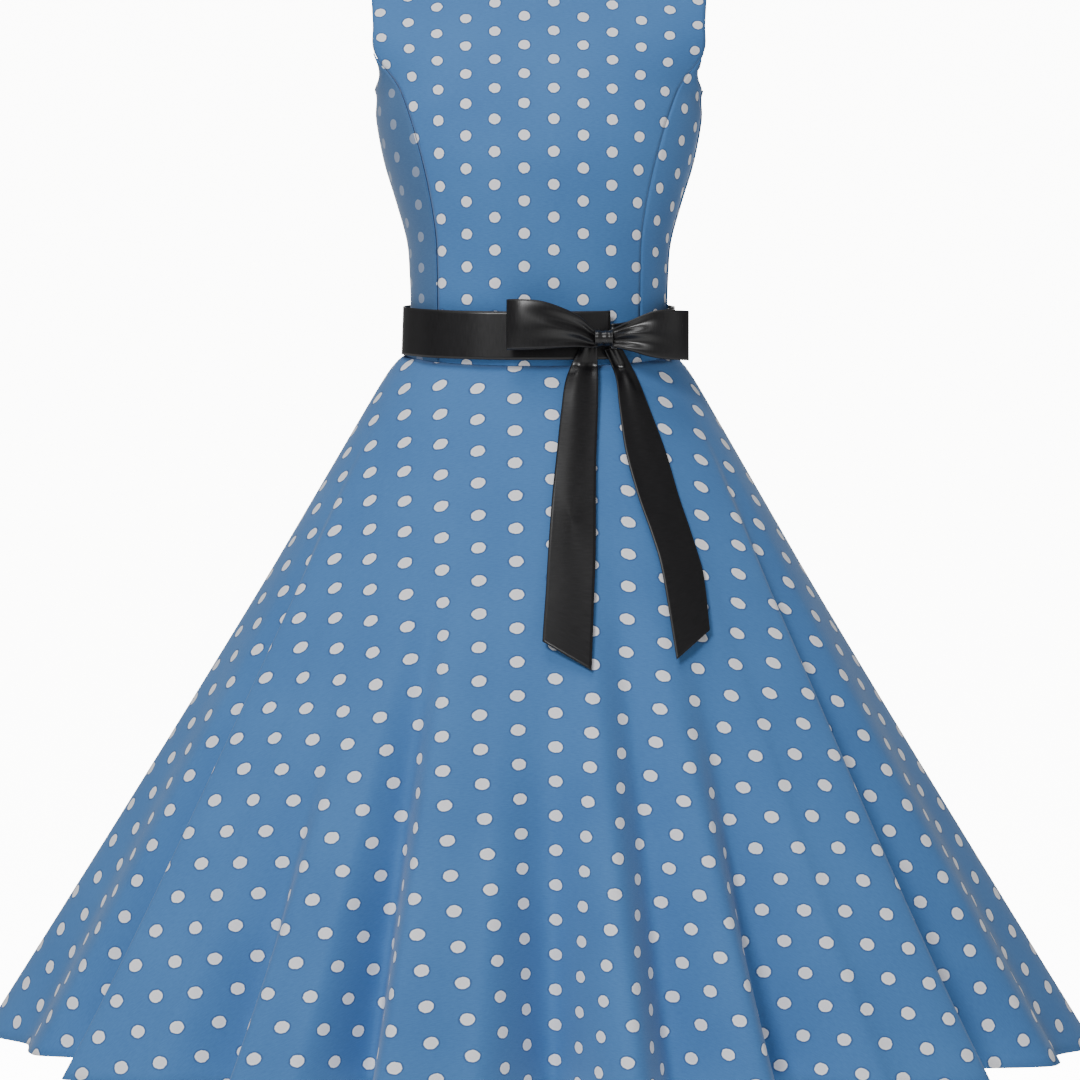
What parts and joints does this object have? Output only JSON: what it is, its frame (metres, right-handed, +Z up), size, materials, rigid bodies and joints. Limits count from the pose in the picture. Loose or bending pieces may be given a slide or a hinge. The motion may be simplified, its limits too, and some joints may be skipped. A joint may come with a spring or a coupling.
{
  "type": "a-line dress",
  "caption": "Sleeveless A-line swing dress with a princess bodice, folded flared skirt, ribbon sash with a bow and back zip.",
  "frame": {"origin": "middle of the shoulder line, between the two neck corners, where the wearer carries the dress", "axes": "+Z up, the front of the dress faces -Y, +X is the wearer's left"},
  "size_m": [1.0574, 0.789, 1.0875],
  "materials": {
    "dress_cotton": "matte woven cotton with light dots",
    "satin_ribbon": "black satin",
    "zip_tape": "woven tape",
    "zip_metal": "plated"
  },
  "bodies": {
    "dress": {"bodice_centre_front": "dress_cotton", "bodice_side_front_left": "dress_cotton", "bodice_side_front_right": "dress_cotton", "bodice_back_left": "dress_cotton", "bodice_back_right": "dress_cotton", "skirt_front": "dress_cotton", "skirt_back_left": "dress_cotton", "skirt_back_right": "dress_cotton", "sash_band": "satin_ribbon", "bow_loop_left": "satin_ribbon", "bow_loop_right": "satin_ribbon", "bow_knot": "satin_ribbon", "ribbon_tail_left": "satin_ribbon", "ribbon_tail_right": "satin_ribbon", "zip_tape": "zip_tape", "zip_slider": "zip_metal"},
    "zip_pull": {"zip_pull": "zip_metal"}
  },
  "joints": [
    {"name": "zip_pull_hinge", "type": "hinge", "parent": "dress", "child": "zip_pull", "pos_m": [0, 0.08667, -0.03997], "axis": [1, 0, 0], "range_deg": [0, 120]}
  ]
}
